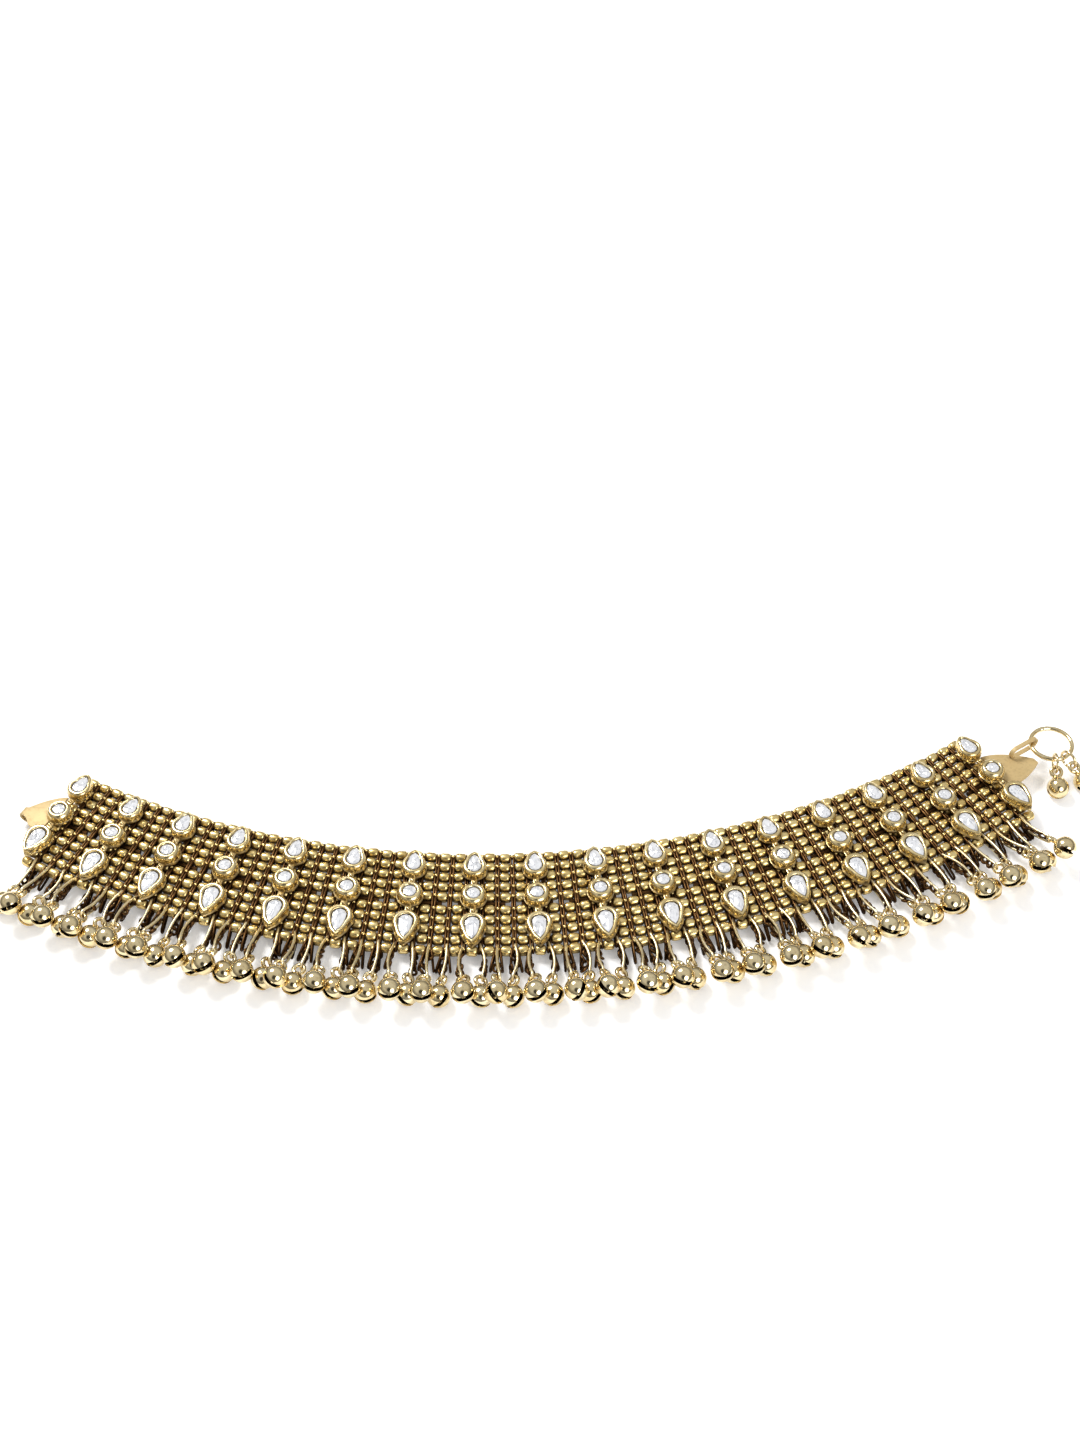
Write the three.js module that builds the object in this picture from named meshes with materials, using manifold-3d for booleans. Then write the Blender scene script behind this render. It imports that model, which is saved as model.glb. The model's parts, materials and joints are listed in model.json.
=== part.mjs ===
// Ghungroo anklet, laid flat and face up: a fan of ball chain rows with seventeen stone motifs,
// a fringe of jingle bells along its lower edge, and an end plate at each end for the clasp.
// Millimetres, +Z up. The strap runs along X, and its bells point towards -Y.

import * as THREE from 'three';
import { mergeVertices } from 'three/addons/utils/BufferGeometryUtils.js';
import Module from 'manifold-3d';

// Ball chain strap
const beadDiameter = 2.2;
const beadLength = 2.3;
const columnPitch = 3.28;
const rowPitch = 2.56;
const bandGap = 0.7;
const connectorDiameter = 0.5;
const grooveDepth = 0.7;
const fanRadius = 198.8;
const rowCount = 10;
const motifCount = 17;
const columnsPerMotif = 4;

// Clearances
const seatClearance = 0.3;
const runningClearance = 0.3;
const cutOverrun = 1;
const weldTolerance = 0.0001;

// Stone settings, each with its width, its length across the strap, and its place across it
const topSetting = { width: 5.3, length: 6.6, height: 2.0, dome: 0.5, across: 8.1, tipSide: 1 };
const midSetting = { width: 5.6, length: 5.6, height: 2.6, dome: 0.5, across: 0.3, tipSide: 0 };
const lowSetting = { width: 5.8, length: 8.1, height: 2.2, dome: 0.6, across: -8.15, tipSide: -1 };
const bezelLip = 0.8;
const bezelTaper = 0.25;
const stoneBevel = 0.9;
const spineWidth = 1.2;
const spineThickness = 0.6;
const rivetDiameter = 0.8;
const leafWidth = 5.6;
const leafLength = 8.5;
const leafThickness = 0.5;

// Jingle bells and their links
const bellDiameter = 4.8;
const bellWall = 0.35;
const linkWire = 0.56;
const eyeDiameter = 3.1;
const eyeWire = 0.9;
const eyeSeat = 0.3;
const lowerReach = 11.2;
const upperReach = 13;
const upperBellLift = 3.3;
const bellSpacing = 3.3;
const slotWidth = 0.8;
const beltHeightShare = 0.42;
const beltRadiusShare = 0.95;
const pelletDiameter = 1.6;

// End plates, each with its length from the strap, its tip, and how far its edges bulge
const plateThickness = 0.5;
const plateBase = 10;
const tabWidth = 3.6;
const leftPlate = { length: 6.0, tipHeight: 2.2, tipAcross: -1.8, lowBulge: 1.4, highBulge: 1.6 };
const rightPlate = { length: 9.5, tipHeight: 1.4, tipAcross: -2.1, lowBulge: 1.3, highBulge: 2.3 };
const hookWidth = 2;
const hookGap = 1.6;
const hookReturn = 3.4;
const loopWidth = 0.9;
const loopBore = 2;
const loopStretch = 4.8;
const loopPast = 1.9;
const loopAcross = 1.6;

// Clasp
const claspWire = 1;
const claspDiameter = 10;
const claspTurn = THREE.MathUtils.degToRad(34);
const jumpWire = 0.6;
const jumpDiameter = 4.6;
const jumpAngles = [-123, -88].map(THREE.MathUtils.degToRad);

// Facets
const settingSides = 8;
const bellSides = 6;
const chainSides = 4;
const ringSides = 6;
const ringSteps = 20;
const smallRingSteps = 12;
const hollowBellSides = 10;
const hollowBellRings = 7;
const pelletSides = 6;
const pelletRings = 4;

// Sizes and heights that follow from the ones above
const beadRadius = beadDiameter / 2;
const bellRadius = bellDiameter / 2;
const beadHeight = leafThickness + seatClearance + beadRadius;
const settingBase = beadHeight + beadRadius + seatClearance;
const plateTop = settingBase + plateThickness;
const plateStart = beadLength / 2 + seatClearance;
const loopAlong = plateStart + rightPlate.length + loopPast;
const bandOffset = bandGap / 2 + rowPitch / 2;
const outerColumns = Math.floor(columnsPerMotif / 2);
const innerColumns = columnsPerMotif - 1 - outerColumns;
const hingeColumn = outerColumns + 1 / 2;
const rivetHole = rivetDiameter + 2 * runningClearance;

const wasm = await Module();
wasm.setup();

// Merges the shared vertices of a geometry and drops the triangles that collapse
function weld(geometry) {
  const bare = geometry.index ? geometry.toNonIndexed() : geometry.clone();
  bare.deleteAttribute('normal');
  bare.deleteAttribute('uv');
  const merged = mergeVertices(bare, weldTolerance);
  const corners = merged.index.array;
  const kept = [];
  for (let i = 0; i < corners.length; i += 3) {
    const [a, b, c] = [corners[i], corners[i + 1], corners[i + 2]];
    if (a !== b && b !== c && c !== a) kept.push(a, b, c);
  }
  merged.setIndex(kept);
  return merged;
}

function toSolid(geometry) {
  const welded = weld(geometry);
  return new wasm.Manifold(new wasm.Mesh({
    numProp: 3,
    vertProperties: Float32Array.from(welded.attributes.position.array),
    triVerts: Uint32Array.from(welded.index.array),
  }));
}

function toGeometry(solid) {
  const mesh = solid.getMesh();
  const geometry = new THREE.BufferGeometry();
  geometry.setAttribute('position', new THREE.BufferAttribute(mesh.vertProperties, 3));
  geometry.setIndex(new THREE.BufferAttribute(mesh.triVerts, 1));
  return geometry;
}

function join(...geometries) {
  return toGeometry(geometries.map(toSolid).reduce((sum, next) => sum.add(next)));
}

function cut(geometry, ...tools) {
  return toGeometry(tools.map(toSolid).reduce((rest, tool) => rest.subtract(tool), toSolid(geometry)));
}

// A closed skin through rings of points, with a fan over each end
function loft(rings) {
  const points = [];
  const corners = [];
  const sides = rings[0].length;
  rings.forEach((ring) => ring.forEach((point) => points.push(point)));
  for (let r = 0; r + 1 < rings.length; r += 1) {
    for (let i = 0; i < sides; i += 1) {
      const a = r * sides + i;
      const b = r * sides + (i + 1) % sides;
      corners.push(a, b, b + sides, a, b + sides, a + sides);
    }
  }
  const middle = (ring) => ring.reduce((sum, p) => sum.add(p), new THREE.Vector3()).divideScalar(sides);
  const first = points.push(middle(rings[0])) - 1;
  const last = points.push(middle(rings[rings.length - 1])) - 1;
  const lastRing = (rings.length - 1) * sides;
  for (let i = 0; i < sides; i += 1) {
    const next = (i + 1) % sides;
    corners.push(first, next, i);
    corners.push(last, lastRing + i, lastRing + next);
  }
  const geometry = new THREE.BufferGeometry().setFromPoints(points);
  geometry.setIndex(corners);
  return geometry;
}

// Places along the strap widen away from the fan's centre
function spread(across) {
  return 1 - across / fanRadius;
}

// How far across the strap a row lies, with row 0 on the upper edge
function rowAcross(row) {
  const fromMiddle = rowCount / 2 - 1 - row;
  return fromMiddle >= 0 ? bandOffset + fromMiddle * rowPitch : -bandOffset + (fromMiddle + 1) * rowPitch;
}

// Edges of the cells around a list of bead centres, with half a bead outside the outer ones
function cellEdges(centres, halfBead) {
  const edges = [centres[0] - halfBead];
  for (let i = 0; i + 1 < centres.length; i += 1) edges.push((centres[i] + centres[i + 1]) / 2);
  edges.push(centres[centres.length - 1] + halfBead);
  return edges;
}

// Which way a segment lies from the middle one
function segmentSide(index) {
  return Math.sign(index - (motifCount - 1) / 2);
}

// The bead columns that a segment carries, counted from its motif. The outer segment of each
// pair carries the column half way between their motifs.
function segmentColumns(index) {
  const side = segmentSide(index);
  const isEnd = index === 0 || index === motifCount - 1;
  const first = side > 0 ? -outerColumns : -innerColumns;
  const last = side < 0 ? outerColumns : innerColumns;
  const columns = Array.from({ length: last - first + 1 }, (_, i) => first + i);
  return isEnd ? columns.filter((column) => column * side <= 0) : columns;
}

// The gaps between columns that hold a bell, with the bending gap last or first
function segmentGaps(index) {
  const columns = segmentColumns(index);
  const gaps = columns.slice(1).map((column) => column - 1 / 2);
  const side = segmentSide(index);
  if (side < 0) gaps.push(hingeColumn);
  if (side > 0) gaps.unshift(-hingeColumn);
  return gaps;
}

// Nine rows of beads as one sheet: a pyramid for each bead, on a flat back
function beadPanel(columns) {
  const alongCentres = columns.map((column) => column * columnPitch);
  const acrossCentres = [];
  for (let row = rowCount - 2; row >= 0; row -= 1) acrossCentres.push(rowAcross(row));
  const alongEdges = cellEdges(alongCentres, beadLength / 2);
  const acrossEdges = cellEdges(acrossCentres, beadRadius);
  const top = beadHeight + beadRadius;
  const bottom = beadHeight - beadRadius;
  const points = [];
  const corners = [];
  const addPoint = (along, across, z) => {
    const point = new THREE.Vector3(along * spread(across), across, z);
    return points.push(point) - 1;
  };
  const groove = top - grooveDepth;
  const lattice = acrossEdges.map((across) => alongEdges.map((along) => addPoint(along, across, groove)));
  acrossCentres.forEach((across, j) => alongCentres.forEach((along, i) => {
    const peak = addPoint(along, across, top);
    const cell = [lattice[j][i], lattice[j][i + 1], lattice[j + 1][i + 1], lattice[j + 1][i]];
    cell.forEach((corner, n) => corners.push(peak, corner, cell[(n + 1) % cell.length]));
  }));
  const rim = [
    ...lattice[0],
    ...lattice.slice(1).map((line) => line[line.length - 1]),
    ...lattice[lattice.length - 1].slice(0, -1).reverse(),
    ...lattice.slice(1, -1).map((line) => line[0]).reverse(),
  ];
  const foot = rim.map((corner) => points.push(points[corner].clone().setZ(bottom)) - 1);
  const middle = addPoint((alongEdges[0] + alongEdges[alongEdges.length - 1]) / 2, 0, bottom);
  rim.forEach((corner, n) => {
    const next = (n + 1) % rim.length;
    corners.push(corner, foot[n], foot[next], corner, foot[next], rim[next]);
    corners.push(middle, foot[next], foot[n]);
  });
  const sheet = new THREE.BufferGeometry().setFromPoints(points);
  sheet.setIndex(corners);
  if (!columns.includes(0)) return sheet;
  const hole = new THREE.BoxGeometry(rivetHole, rivetHole, beadDiameter + 2 * cutOverrun);
  hole.translate(0, 0, beadHeight);
  return cut(sheet, hole);
}

// Outline of a setting around its own centre: round, or a pear with its point on one side
function settingOutline({ width, length, tipSide }, inset) {
  const radius = width / 2 - inset;
  if (tipSide === 0) {
    return Array.from({ length: settingSides }, (_, i) => {
      const angle = (i + 1 / 2) * 2 * Math.PI / settingSides;
      return new THREE.Vector2(radius * Math.cos(angle), radius * Math.sin(angle));
    });
  }
  const reach = length - width / 2 - inset;
  const circleCentre = -tipSide * (length - width) / 2;
  const tangent = Math.acos(radius / reach);
  const points = [new THREE.Vector2(0, circleCentre + tipSide * reach)];
  for (let i = 0; i < settingSides - 1; i += 1) {
    const angle = tangent + (2 * Math.PI - 2 * tangent) * i / (settingSides - 2);
    const across = circleCentre + tipSide * radius * Math.cos(angle);
    points.push(new THREE.Vector2(-tipSide * radius * Math.sin(angle), across));
  }
  return points;
}

// A bezel cup with its stone: wall, rolled lip, the stone's slope and its flat table
function stoneSetting(setting, base) {
  const ring = (inset, height) => settingOutline(setting, inset).map(
    (point) => new THREE.Vector3(point.x, point.y + setting.across, base + height),
  );
  return loft([
    ring(0, 0),
    ring(bezelTaper, setting.height),
    ring(bezelLip, setting.height),
    ring(bezelLip + stoneBevel, setting.height + setting.dome),
  ]);
}

// Three bezel cups on a spine, riveted through the mesh to a leaf-shaped back plate
function stoneMotif(base) {
  const spine = new THREE.BoxGeometry(spineWidth, topSetting.across - lowSetting.across, spineThickness);
  spine.translate(0, (topSetting.across + lowSetting.across) / 2, base + spineThickness / 2);
  const rivetLength = base + spineThickness / 2 - leafThickness / 2;
  const rivet = new THREE.BoxGeometry(rivetDiameter, rivetDiameter, rivetLength);
  rivet.translate(0, 0, leafThickness / 2 + rivetLength / 2);
  const outline = new THREE.Shape();
  outline.moveTo(0, -leafLength / 2);
  outline.quadraticCurveTo(leafWidth, 0, 0, leafLength / 2);
  outline.quadraticCurveTo(-leafWidth, 0, 0, -leafLength / 2);
  const leaf = new THREE.ExtrudeGeometry(outline, {
    depth: leafThickness, bevelEnabled: false, curveSegments: 3,
  });
  const settings = [topSetting, midSetting, lowSetting].map((setting) => stoneSetting(setting, base));
  return join(...settings, spine, rivet, leaf);
}

// A length of ball chain: a ring of points before, at and after the middle of every bead
function chainString(centres, ends, across) {
  const wire = connectorDiameter / 2;
  const halfBead = beadLength / 2;
  const ring = (along, radius) => Array.from({ length: chainSides }, (_, i) => {
    const angle = i * 2 * Math.PI / chainSides;
    return new THREE.Vector3(along, across + radius * Math.cos(angle), beadHeight + radius * Math.sin(angle));
  });
  const rings = [];
  if (ends[0] < centres[0] - halfBead) rings.push(ring(ends[0], wire));
  centres.forEach((centre) => {
    rings.push(ring(centre - halfBead, wire), ring(centre, beadRadius), ring(centre + halfBead, wire));
  });
  if (ends[1] > centres[centres.length - 1] + halfBead) rings.push(ring(ends[1], wire));
  return loft(rings);
}

// A link, its bell's eye and the bell, turned about the line from the chain to the bell's middle
function linkedBell(start, middle) {
  const reach = middle.distanceTo(start);
  const wire = linkWire / 2;
  const crown = reach - bellRadius;
  const beltHeight = bellRadius * beltHeightShare;
  const beltRadius = bellRadius * beltRadiusShare;
  const profile = [
    [0, 0], [wire, 0], [wire, crown - eyeDiameter], [eyeDiameter / 2, crown - eyeDiameter / 2],
    [eyeWire, crown], [beltRadius, reach - beltHeight],
    [beltRadius, reach + beltHeight], [0, reach + bellRadius],
  ].map(([radius, distance]) => new THREE.Vector2(radius, distance));
  const bell = new THREE.LatheGeometry(profile, bellSides);
  const direction = middle.clone().sub(start).normalize();
  bell.applyQuaternion(new THREE.Quaternion().setFromUnitVectors(new THREE.Vector3(0, 1, 0), direction));
  bell.translate(start.x, start.y, start.z);
  return bell;
}

// The lowest chain row of a segment with the bells that hang from it, in two layers by turns
function bellRow(index) {
  const across = rowAcross(rowCount - 1);
  const widen = spread(across);
  const centres = segmentColumns(index).map((column) => column * columnPitch * widen);
  const gaps = segmentGaps(index);
  const side = segmentSide(index);
  const stubEnd = (hingeColumn * columnPitch + columnPitch / 2 - runningClearance) * widen - beadLength / 2;
  const ends = [centres[0], centres[centres.length - 1]];
  if (side < 0) ends[1] = stubEnd;
  if (side > 0) ends[0] = -stubEnd;
  const places = gaps.map((gap) => gap * columnPitch * spread(across - lowerReach));
  const groupMiddle = (places[0] + places[places.length - 1]) / 2;
  const bells = gaps.map((gap, n) => {
    const isLower = (segmentStartsLow(index) ? n : n + 1) % 2 === 0;
    const reach = isLower ? lowerReach : upperReach;
    const lift = (isLower ? bellRadius : bellRadius + upperBellLift) - beadHeight;
    const start = new THREE.Vector3(gap * columnPitch * widen, across, beadHeight);
    const middle = new THREE.Vector3(
      groupMiddle + (n - (gaps.length - 1) / 2) * bellSpacing,
      across - Math.sqrt(reach ** 2 - lift ** 2),
      beadHeight + lift,
    );
    return linkedBell(start, middle);
  });
  return join(chainString(centres, ends, across), ...bells);
}

// Lower and upper bells alternate along the whole fringe
function segmentStartsLow(index) {
  let count = 0;
  for (let i = 0; i < index; i += 1) count += segmentGaps(i).length;
  return count % 2 === 0;
}

// A flat plate that narrows from the strap to its tongue, with a tab riveted under the round cup.
// It is drawn for the right end, with the strap on its left.
function endPlate({ length, tipHeight, tipAcross, lowBulge, highBulge }, baseAcross) {
  const low = baseAcross - plateBase / 2;
  const high = baseAcross + plateBase / 2;
  const tip = plateStart + length;
  const tipLow = tipAcross - tipHeight / 2;
  const tabEnd = -rivetHole / 2 - plateThickness;
  const outline = new THREE.Shape();
  outline.moveTo(plateStart, low);
  outline.quadraticCurveTo((plateStart + tip) / 2, (low + tipLow) / 2 - lowBulge, tip, tipLow);
  outline.lineTo(tip, tipLow + tipHeight);
  const highMiddle = (high + tipLow + tipHeight) / 2;
  outline.quadraticCurveTo((plateStart + tip) / 2, highMiddle + highBulge, plateStart, high);
  outline.lineTo(plateStart, tabWidth / 2);
  outline.lineTo(tabEnd, tabWidth / 2);
  outline.lineTo(tabEnd, -tabWidth / 2);
  outline.lineTo(plateStart, -tabWidth / 2);
  outline.lineTo(plateStart, low);
  const hole = new THREE.Path();
  hole.moveTo(-rivetHole / 2, -rivetHole / 2);
  hole.lineTo(-rivetHole / 2, rivetHole / 2);
  hole.lineTo(rivetHole / 2, rivetHole / 2);
  hole.lineTo(rivetHole / 2, -rivetHole / 2);
  hole.lineTo(-rivetHole / 2, -rivetHole / 2);
  outline.holes.push(hole);
  const plate = new THREE.ExtrudeGeometry(outline, {
    depth: plateThickness, bevelEnabled: false, curveSegments: 5,
  });
  plate.translate(0, 0, plateTop - plateThickness);
  return plate;
}

// A strip bent to a profile drawn along the strap and upwards, centred at a place across it
function tongue(profile, across, width) {
  const strip = new THREE.ExtrudeGeometry(profile, { depth: width, bevelEnabled: false, curveSegments: 6 });
  strip.rotateX(Math.PI / 2);
  strip.translate(0, across + width / 2, 0);
  return strip;
}

// The right tongue runs on from the plate, curls up round the clasp ring and comes back over itself
const loopHeight = plateTop + loopBore / 2;

function loopPlate() {
  const outside = loopBore / 2 + plateThickness;
  const start = loopAlong - loopStretch;
  const profile = new THREE.Shape();
  profile.absarc(loopAlong, loopHeight, outside, -Math.PI / 2, Math.PI / 2, false);
  profile.absarc(start, loopHeight, outside, Math.PI / 2, 3 * Math.PI / 2, false);
  const bore = new THREE.Path();
  bore.absarc(loopAlong, loopHeight, loopBore / 2, Math.PI / 2, -Math.PI / 2, true);
  bore.absarc(start, loopHeight, loopBore / 2, 3 * Math.PI / 2, Math.PI / 2, true);
  profile.holes.push(bore);
  return join(endPlate(rightPlate, midSetting.across), tongue(profile, loopAcross, loopWidth));
}

// The left tongue turns down and back under the plate as a hook. It is drawn for the right end,
// then turned half round.
function hookPlate() {
  const bend = hookGap / 2 + plateThickness;
  const bendAlong = plateStart + leftPlate.length;
  const bendHeight = plateTop - bend;
  const profile = new THREE.Shape();
  profile.moveTo(bendAlong - hookReturn, plateTop - plateThickness);
  profile.lineTo(bendAlong, plateTop - plateThickness);
  profile.absarc(bendAlong, bendHeight, bend - plateThickness, Math.PI / 2, -Math.PI / 2, true);
  profile.lineTo(bendAlong - hookReturn, bendHeight - bend + plateThickness);
  profile.lineTo(bendAlong - hookReturn, bendHeight - bend);
  profile.lineTo(bendAlong, bendHeight - bend);
  profile.absarc(bendAlong, bendHeight, bend, -Math.PI / 2, Math.PI / 2, false);
  profile.lineTo(bendAlong - hookReturn, plateTop);
  profile.lineTo(bendAlong - hookReturn, plateTop - plateThickness);
  const turned = {
    ...leftPlate,
    tipAcross: -leftPlate.tipAcross,
    lowBulge: leftPlate.highBulge,
    highBulge: leftPlate.lowBulge,
  };
  const plate = join(endPlate(turned, -midSetting.across), tongue(profile, turned.tipAcross, hookWidth));
  plate.rotateZ(Math.PI);
  return plate;
}

// A ring in its own plane, about Z
function wireRing(outerDiameter, wire, steps) {
  return weld(new THREE.TorusGeometry((outerDiameter - wire) / 2, wire / 2, ringSides, steps));
}

// A hollow bell with a slot across its lower half and an eye, pointing along +X from its eye
const bellFromEye = bellRadius + eyeDiameter / 2 - eyeSeat;
const hollowRadius = bellRadius - bellWall;

function hollowBell() {
  const shell = new THREE.SphereGeometry(bellRadius, hollowBellSides, hollowBellRings);
  const hollow = new THREE.SphereGeometry(hollowRadius, hollowBellSides, hollowBellRings);
  const slot = new THREE.BoxGeometry(bellRadius + cutOverrun, bellDiameter + cutOverrun, slotWidth);
  slot.translate((bellRadius + cutOverrun) / 2, 0, 0);
  const eye = wireRing(eyeDiameter, eyeWire, smallRingSteps);
  eye.translate(-bellFromEye, 0, 0);
  shell.rotateZ(Math.PI / 2);
  hollow.rotateZ(Math.PI / 2);
  const bell = cut(join(shell, eye), hollow, slot);
  bell.translate(bellFromEye, 0, 0);
  return bell;
}

// Finishes
const goldBead = new THREE.MeshStandardMaterial({ color: '#b99a58', roughness: 0.38, metalness: 0.9 });
const goldBezel = new THREE.MeshStandardMaterial({ color: '#c9b074', roughness: 0.35, metalness: 0.85 });
const goldBell = new THREE.MeshStandardMaterial({ color: '#c8ab68', roughness: 0.22, metalness: 1 });
const goldPlate = new THREE.MeshStandardMaterial({ color: '#ccb47c', roughness: 0.5, metalness: 0.8 });
const steel = new THREE.MeshStandardMaterial({ color: '#a9a9a6', roughness: 0.3, metalness: 1 });

function addMesh(parent, name, geometry, material) {
  const mesh = new THREE.Mesh(geometry, material.clone());
  mesh.name = name;
  parent.add(mesh);
  return mesh;
}

// The strap: one group for each motif, turned about the fan's centre
const anklet = new THREE.Group();
const segments = [];
const motifAngle = columnsPerMotif * columnPitch / fanRadius;
for (let index = 0; index < motifCount; index += 1) {
  const angle = (index - (motifCount - 1) / 2) * motifAngle;
  const number = String(index + 1).padStart(2, '0');
  const segment = new THREE.Group();
  segment.position.set(fanRadius * Math.sin(angle), fanRadius * (1 - Math.cos(angle)), 0);
  segment.rotation.z = angle;
  const isEnd = index === 0 || index === motifCount - 1;
  addMesh(segment, `bead_panel_${number}`, beadPanel(segmentColumns(index)), goldBead);
  addMesh(segment, `motif_${number}`, stoneMotif(isEnd ? plateTop + seatClearance : settingBase), goldBezel);
  addMesh(segment, `bell_row_${number}`, bellRow(index), goldBell);
  anklet.add(segment);
  segments.push(segment);
}

addMesh(segments[0], 'left_end_plate', hookPlate(), goldPlate);
const rightEnd = segments[motifCount - 1];
addMesh(rightEnd, 'right_end_plate', loopPlate(), goldPlate);

// The clasp ring passes through the loop on a slant. Its wire leans most at the loop's upper side,
// and there it stays clear of the loop's round end.
const claspMeanRadius = (claspDiameter - claspWire) / 2;
const wireSlant = Math.asin(Math.sin(claspTurn) + loopWidth / 2 / claspMeanRadius);
const wireShift = claspMeanRadius * (Math.cos(claspTurn) - Math.cos(wireSlant));
const wireReach = wireShift + claspWire / 2 / Math.cos(wireSlant);
const wireAlong = loopAlong + loopBore / 2 - runningClearance - wireReach;
const clasp = new THREE.Group();
clasp.position.set(
  wireAlong + claspMeanRadius * Math.cos(claspTurn),
  loopAcross - claspMeanRadius * Math.sin(claspTurn),
  loopHeight,
);
addMesh(clasp, 'clasp_ring', wireRing(claspDiameter, claspWire, ringSteps), goldBell);
rightEnd.add(clasp);

// Two jump rings hang from the clasp ring down to the table, with a bell on each
const jumpOffset = jumpDiameter / 2 - jumpWire - claspWire / 2 - runningClearance;
const jumpMeanRadius = (jumpDiameter - jumpWire) / 2;
const eyeAlong = jumpOffset + jumpMeanRadius;
const armPitch = Math.asin((loopHeight - bellRadius) / (eyeAlong + bellFromEye));
const pelletRadius = pelletDiameter / 2;
jumpAngles.forEach((angle, n) => {
  const spoke = new THREE.Group();
  spoke.rotation.z = angle;
  const arm = new THREE.Group();
  arm.position.x = claspMeanRadius;
  arm.rotation.y = armPitch;
  const ring = wireRing(jumpDiameter, jumpWire, smallRingSteps);
  const jumpRing = addMesh(arm, `jump_ring_${n + 1}`, ring, goldBell);
  jumpRing.position.x = jumpOffset;
  jumpRing.rotation.x = Math.PI / 2;
  const bell = addMesh(arm, `end_bell_${n + 1}`, hollowBell(), goldBell);
  bell.position.x = eyeAlong;
  const ball = weld(new THREE.SphereGeometry(pelletRadius, pelletSides, pelletRings));
  const pellet = addMesh(arm, `end_pellet_${n + 1}`, ball, steel);
  pellet.position.set(eyeAlong + bellFromEye, 0, -(hollowRadius - pelletRadius - runningClearance));
  spoke.add(arm);
  clasp.add(spoke);
});

// The frame's origin is under the middle of the anklet, on the surface that it lies on
anklet.updateMatrixWorld(true);
const box = new THREE.Box3();
anklet.traverse((piece) => {
  if (piece.isMesh) box.union(new THREE.Box3().setFromObject(piece, true));
});
const middle = box.getCenter(new THREE.Vector3());
anklet.position.set(-middle.x, -middle.y, -box.min.z);

export default anklet;
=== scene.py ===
import json
import math
import random

import bmesh
import bpy
from mathutils import Matrix, Vector


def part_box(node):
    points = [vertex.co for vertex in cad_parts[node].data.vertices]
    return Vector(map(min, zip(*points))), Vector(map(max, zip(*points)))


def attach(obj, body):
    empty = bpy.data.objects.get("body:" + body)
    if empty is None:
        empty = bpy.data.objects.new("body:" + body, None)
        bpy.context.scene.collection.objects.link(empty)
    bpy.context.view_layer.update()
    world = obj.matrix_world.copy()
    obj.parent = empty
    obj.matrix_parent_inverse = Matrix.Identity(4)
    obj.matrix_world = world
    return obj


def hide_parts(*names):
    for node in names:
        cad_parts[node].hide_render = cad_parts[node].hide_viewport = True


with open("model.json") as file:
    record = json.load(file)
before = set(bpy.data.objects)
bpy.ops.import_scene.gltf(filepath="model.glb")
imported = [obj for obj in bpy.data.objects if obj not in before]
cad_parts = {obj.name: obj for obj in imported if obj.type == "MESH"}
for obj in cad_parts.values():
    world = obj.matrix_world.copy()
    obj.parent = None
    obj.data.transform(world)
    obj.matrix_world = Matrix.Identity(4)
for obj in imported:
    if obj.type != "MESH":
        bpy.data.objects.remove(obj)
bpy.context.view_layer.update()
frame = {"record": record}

mm = 0.001
tiny = 0.01 * mm
restPoint = next(Vector(m["pos_m"]) for m in frame["record"]["mounts"] if m["name"] == "rest_middle")

# The strap lies as a fan, with its motifs at equal angles about one centre
strap = {
    "motifs": 17,
    "columnsPerMotif": 4,
    "columnPitch": 3.28 * mm,
    "rows": 10,
    "rowPitch": 2.56 * mm,
    "bandGap": 0.7 * mm,
    "fanRadius": 198.8 * mm,
    "beadHeight": 1.9 * mm,
}
middleMotif = (strap["motifs"] + 1) // 2
outerColumns = strap["columnsPerMotif"] // 2
innerColumns = strap["columnsPerMotif"] - 1 - outerColumns
hingeColumn = outerColumns + 0.5


def tag(number):
    return f"{number:02d}"


def segmentMatrix(motif):
    angle = (motif - middleMotif) * strap["columnsPerMotif"] * strap["columnPitch"] / strap["fanRadius"]
    reach = strap["fanRadius"]
    place = restPoint + Vector((reach * math.sin(angle), reach * (1 - math.cos(angle)), 0))
    return Matrix.Translation(place) @ Matrix.Rotation(angle, 4, "Z")


def segmentSide(motif):
    return (motif > middleMotif) - (motif < middleMotif)


def segmentColumns(motif):
    side = segmentSide(motif)
    first = -outerColumns if side > 0 else -innerColumns
    last = outerColumns if side < 0 else innerColumns
    columns = range(first, last + 1)
    if motif in (1, strap["motifs"]):
        return [c for c in columns if c * side <= 0]
    return list(columns)


def segmentGaps(motif):
    columns = segmentColumns(motif)
    gaps = [c - 0.5 for c in columns[1:]]
    side = segmentSide(motif)
    if side < 0:
        gaps.append(hingeColumn)
    if side > 0:
        gaps.insert(0, -hingeColumn)
    return gaps


def spread(across):
    return 1 - across / strap["fanRadius"]


def rowAcross(row):  # row 0 is the upper edge
    half = strap["rows"] // 2
    offset = strap["bandGap"] / 2 + strap["rowPitch"] / 2
    if row < half:
        return offset + (half - 1 - row) * strap["rowPitch"]
    return -offset - (row - half) * strap["rowPitch"]


# Small helpers for meshes and pieces

def addCopy(bm, mesh, matrix):
    placed = mesh.copy()
    placed.transform(matrix)
    bm.from_mesh(placed)
    bpy.data.meshes.remove(placed)


def asMesh(bm, name):
    mesh = bpy.data.meshes.new(name)
    bm.to_mesh(mesh)
    bm.free()
    return mesh


def smooth(faces):
    for face in faces:
        face.smooth = True


def smoothBelow(bm, degrees):
    smooth(bm.faces)
    for edge in bm.edges:
        if len(edge.link_faces) == 2:
            edge.smooth = edge.calc_face_angle(math.pi) < math.radians(degrees)


def scatter(amount):
    return random.uniform(-amount, amount)


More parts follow.
